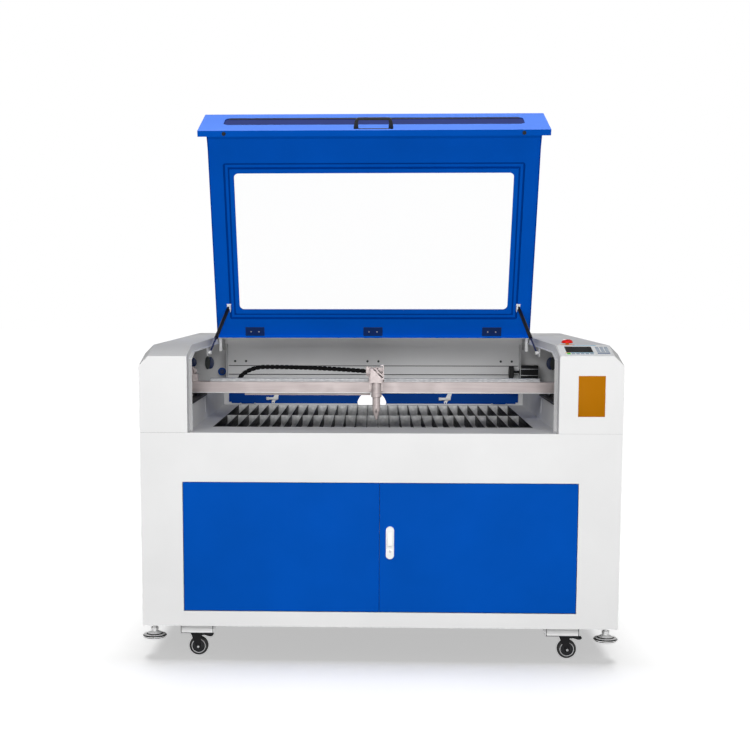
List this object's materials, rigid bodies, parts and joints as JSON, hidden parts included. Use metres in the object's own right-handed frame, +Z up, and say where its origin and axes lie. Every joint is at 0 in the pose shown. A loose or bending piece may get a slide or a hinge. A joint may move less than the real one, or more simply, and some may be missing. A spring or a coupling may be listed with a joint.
{
  "type": "laser engraver",
  "caption": "Floor-standing flat-bed laser engraver: blue hinged lid with window on gas struts, moving gantry and head over a knife-blade bed, cabinet doors below, castors and levelling feet",
  "frame": {"origin": "middle of the footprint on the floor, lid open", "axes": "+X to the operator's right, +Y from the front to the back, +Z up"},
  "size_m": [1.87, 1.622, 2.1767],
  "materials": {
    "white_sheet": "white powder coat, fine texture",
    "blue_sheet": "blue powder coat",
    "grey_sheet": "light grey powder coat",
    "black_steel": "black finish",
    "steel": "ground steel",
    "zinc": "zinc-plated sheet",
    "dark_chrome": "dark chrome",
    "aluminium": "anodised",
    "rubber": "black rubber",
    "tyre": "moulded black tread",
    "black_plastic": "moulded, slight sheen",
    "clear": "clear acrylic sheet",
    "panel": "printed membrane, plain here",
    "red_plastic": "moulded red",
    "mirror_mount": "machined"
  },
  "bodies": {
    "cabinet": {"base_cabinet": "white_sheet", "castor_boxes": "white_sheet", "pins_and_nuts": "steel", "cover_left": "white_sheet", "cover_right": "white_sheet", "bay_walls": "grey_sheet", "rear_wall": "grey_sheet", "rear_deck": "white_sheet", "back_panel": "white_sheet", "exhaust_duct": "zinc", "chip_funnel": "grey_sheet", "bed_frame": "grey_sheet", "knife_blades": "steel", "y_rails": "black_steel", "drive_belts": "rubber", "bay_brackets": "zinc", "y_motor": "black_steel", "deck_hinges": "zinc", "control_panel": "panel"},
    "lid": {"lid_shell": "blue_sheet", "lid_panes": "clear", "lid_fittings": "black_plastic", "lid_hinges": "zinc"},
    "strut_rod_left": {"strut_rod_l": "steel"},
    "strut_rod_right": {"strut_rod_r": "steel"},
    "strut_cylinder_left": {"strut_body_l": "black_steel"},
    "strut_cylinder_right": {"strut_body_r": "black_steel"},
    "left_door": {"door_left": "blue_sheet"},
    "right_door": {"door_right": "blue_sheet", "door_lock": "black_plastic"},
    "lock_handle": {"lock_paddle": "dark_chrome"},
    "rear_flap": {"rear_flap": "blue_sheet"},
    "flap_latch_left": {"flap_latch_l": "white_sheet"},
    "flap_latch_right": {"flap_latch_r": "white_sheet"},
    "gantry": {"x_beam": "aluminium", "x_rail": "black_steel", "beam_ends": "aluminium", "mirror_two": "mirror_mount", "cable_chain": "black_plastic"},
    "head": {"head_carriage": "mirror_mount", "head_mirror": "mirror_mount"},
    "focus_tube": {"focus_tube": "mirror_mount"},
    "y_shaft": {"cross_shaft": "steel"},
    "front_pulleys": {"idler_pulleys": "steel"},
    "motor_shaft": {"motor_pulley": "steel"},
    "emergency_stop": {"estop_button": "red_plastic"},
    "swivel_fl": {"castor_fork_fl": "black_steel"},
    "wheel_fl": {"castor_wheel_fl": "tyre"},
    "brake_fl": {"brake_pedal_fl": "black_steel"},
    "foot_fl": {"levelling_foot_fl": "dark_chrome"},
    "swivel_fr": {"castor_fork_fr": "black_steel"},
    "wheel_fr": {"castor_wheel_fr": "tyre"},
    "brake_fr": {"brake_pedal_fr": "black_steel"},
    "foot_fr": {"levelling_foot_fr": "dark_chrome"},
    "swivel_bl": {"castor_fork_bl": "black_steel"},
    "wheel_bl": {"castor_wheel_bl": "tyre"},
    "foot_bl": {"levelling_foot_bl": "dark_chrome"},
    "swivel_br": {"castor_fork_br": "black_steel"},
    "wheel_br": {"castor_wheel_br": "tyre"},
    "foot_br": {"levelling_foot_br": "dark_chrome"}
  },
  "joints": [
    {"name": "lid_hinge", "type": "hinge", "parent": "cabinet", "child": "lid", "pos_m": [-0.0295, 0.231, 1.229], "axis": [1, 0, 0], "range_deg": [0, 70]},
    {"name": "strut_swing_left", "type": "hinge", "parent": "cabinet", "child": "strut_rod_left", "pos_m": [-0.72, -0.226, 1.179], "axis": [0.9905, -0.1262, 0.0554], "range_deg": [-21.82, 0]},
    {"name": "strut_stroke_left", "type": "slide", "parent": "strut_rod_left", "child": "strut_cylinder_left", "axis": [0.0904, 0.8983, 0.43], "range_m": [-0.1104, 0]},
    {"name": "strut_swing_right", "type": "hinge", "parent": "cabinet", "child": "strut_rod_right", "pos_m": [0.661, -0.226, 1.179], "axis": [0.9905, 0.1262, -0.0554], "range_deg": [-21.82, 0]},
    {"name": "strut_stroke_right", "type": "slide", "parent": "strut_rod_right", "child": "strut_cylinder_right", "axis": [-0.0904, 0.8983, 0.43], "range_m": [-0.1104, 0]},
    {"name": "left_door_hinge", "type": "hinge", "parent": "cabinet", "child": "left_door", "pos_m": [-0.7563, -0.787, 0.452], "axis": [0, 0, 1], "range_deg": [-100, 0]},
    {"name": "right_door_hinge", "type": "hinge", "parent": "cabinet", "child": "right_door", "pos_m": [0.7563, -0.787, 0.452], "axis": [0, 0, 1], "range_deg": [0, 100]},
    {"name": "lock_handle_pivot", "type": "hinge", "parent": "right_door", "child": "lock_handle", "pos_m": [0.041, -0.797, 0.514], "axis": [1, 0, 0], "range_deg": [-35, 0], "stiffness_Nm_per_rad": 0.3},
    {"name": "flap_hinge", "type": "hinge", "parent": "cabinet", "child": "rear_flap", "pos_m": [-0.0295, 0.4541, 0.9056], "axis": [1, 0, 0], "range_deg": [0, 65]},
    {"name": "flap_latch_turn_left", "type": "hinge", "parent": "rear_flap", "child": "flap_latch_left", "pos_m": [-0.497, 0.449, 0.93], "axis": [0, 1, 0], "range_deg": [0, 90]},
    {"name": "flap_latch_turn_right", "type": "hinge", "parent": "rear_flap", "child": "flap_latch_right", "pos_m": [0.323, 0.449, 0.93], "axis": [0, 1, 0], "range_deg": [0, 90]},
    {"name": "gantry_travel", "type": "slide", "parent": "cabinet", "child": "gantry", "axis": [0, 1, 0], "range_m": [-0.165, 0.665]},
    {"name": "head_travel", "type": "slide", "parent": "gantry", "child": "head", "axis": [1, 0, 0], "range_m": [-0.62, 0.6]},
    {"name": "focus_slide", "type": "slide", "parent": "head", "child": "focus_tube", "axis": [0, 0, 1], "range_m": [-0.008, 0.012]},
    {"name": "emergency_stop_push", "type": "slide", "parent": "cabinet", "child": "emergency_stop", "axis": [0, 0, 1], "range_m": [-0.005, 0], "stiffness_N_per_m": 800},
    {"name": "swivel_turn_fl", "type": "hinge", "parent": "cabinet", "child": "swivel_fl", "pos_m": [-0.728, -0.706, 0.11], "axis": [0, 0, 1], "continuous": true},
    {"name": "wheel_turn_fl", "type": "hinge", "parent": "swivel_fl", "child": "wheel_fl", "pos_m": [-0.716, -0.706, 0.0375], "axis": [0, 1, 0], "continuous": true},
    {"name": "brake_press_fl", "type": "hinge", "parent": "swivel_fl", "child": "brake_fl", "pos_m": [-0.698, -0.706, 0.086], "axis": [0, 1, 0], "range_deg": [0, 14]},
    {"name": "foot_screw_fl", "type": "slide", "parent": "cabinet", "child": "foot_fl", "axis": [0, 0, 1], "range_m": [-0.075, 0.008]},
    {"name": "swivel_turn_fr", "type": "hinge", "parent": "cabinet", "child": "swivel_fr", "pos_m": [0.728, -0.706, 0.11], "axis": [0, 0, 1], "continuous": true},
    {"name": "wheel_turn_fr", "type": "hinge", "parent": "swivel_fr", "child": "wheel_fr", "pos_m": [0.74, -0.706, 0.0375], "axis": [0, 1, 0], "continuous": true},
    {"name": "brake_press_fr", "type": "hinge", "parent": "swivel_fr", "child": "brake_fr", "pos_m": [0.758, -0.706, 0.086], "axis": [0, 1, 0], "range_deg": [0, 14]},
    {"name": "foot_screw_fr", "type": "slide", "parent": "cabinet", "child": "foot_fr", "axis": [0, 0, 1], "range_m": [-0.075, 0.008]},
    {"name": "swivel_turn_bl", "type": "hinge", "parent": "cabinet", "child": "swivel_bl", "pos_m": [-0.728, 0.664, 0.11], "axis": [0, 0, 1], "continuous": true},
    {"name": "wheel_turn_bl", "type": "hinge", "parent": "swivel_bl", "child": "wheel_bl", "pos_m": [-0.716, 0.664, 0.0375], "axis": [0, 1, 0], "continuous": true},
    {"name": "foot_screw_bl", "type": "slide", "parent": "cabinet", "child": "foot_bl", "axis": [0, 0, 1], "range_m": [-0.075, 0.008]},
    {"name": "swivel_turn_br", "type": "hinge", "parent": "cabinet", "child": "swivel_br", "pos_m": [0.728, 0.664, 0.11], "axis": [0, 0, 1], "continuous": true},
    {"name": "wheel_turn_br", "type": "hinge", "parent": "swivel_br", "child": "wheel_br", "pos_m": [0.74, 0.664, 0.0375], "axis": [0, 1, 0], "continuous": true},
    {"name": "foot_screw_br", "type": "slide", "parent": "cabinet", "child": "foot_br", "axis": [0, 0, 1], "range_m": [-0.075, 0.008]},
    {"name": "y_shaft_turn", "type": "hinge", "parent": "cabinet", "child": "y_shaft", "pos_m": [0, 0.424, 0.985], "axis": [1, 0, 0], "range_deg": [-2420.2, 601.2]},
    {"name": "front_pulley_turn", "type": "hinge", "parent": "cabinet", "child": "front_pulleys", "pos_m": [0, -0.681, 0.985], "axis": [1, 0, 0], "range_deg": [-2420.2, 601.2]},
    {"name": "motor_turn", "type": "hinge", "parent": "cabinet", "child": "motor_shaft", "pos_m": [0, 0.424, 1.0585], "axis": [1, 0, 0], "range_deg": [-2420.2, 601.2]}
  ],
  "couplings": [
    {"joint": "strut_swing_left", "follows": "lid_hinge", "ratio": -0.31147},
    {"joint": "strut_stroke_left", "follows": "lid_hinge", "m_per_rad": -0.090245},
    {"joint": "strut_swing_right", "follows": "lid_hinge", "ratio": -0.31147},
    {"joint": "strut_stroke_right", "follows": "lid_hinge", "m_per_rad": -0.090245},
    {"joint": "y_shaft_turn", "follows": "gantry_travel", "rad_per_m": -63.492},
    {"joint": "front_pulley_turn", "follows": "gantry_travel", "rad_per_m": -63.492},
    {"joint": "motor_turn", "follows": "gantry_travel", "rad_per_m": -63.492}
  ]
}
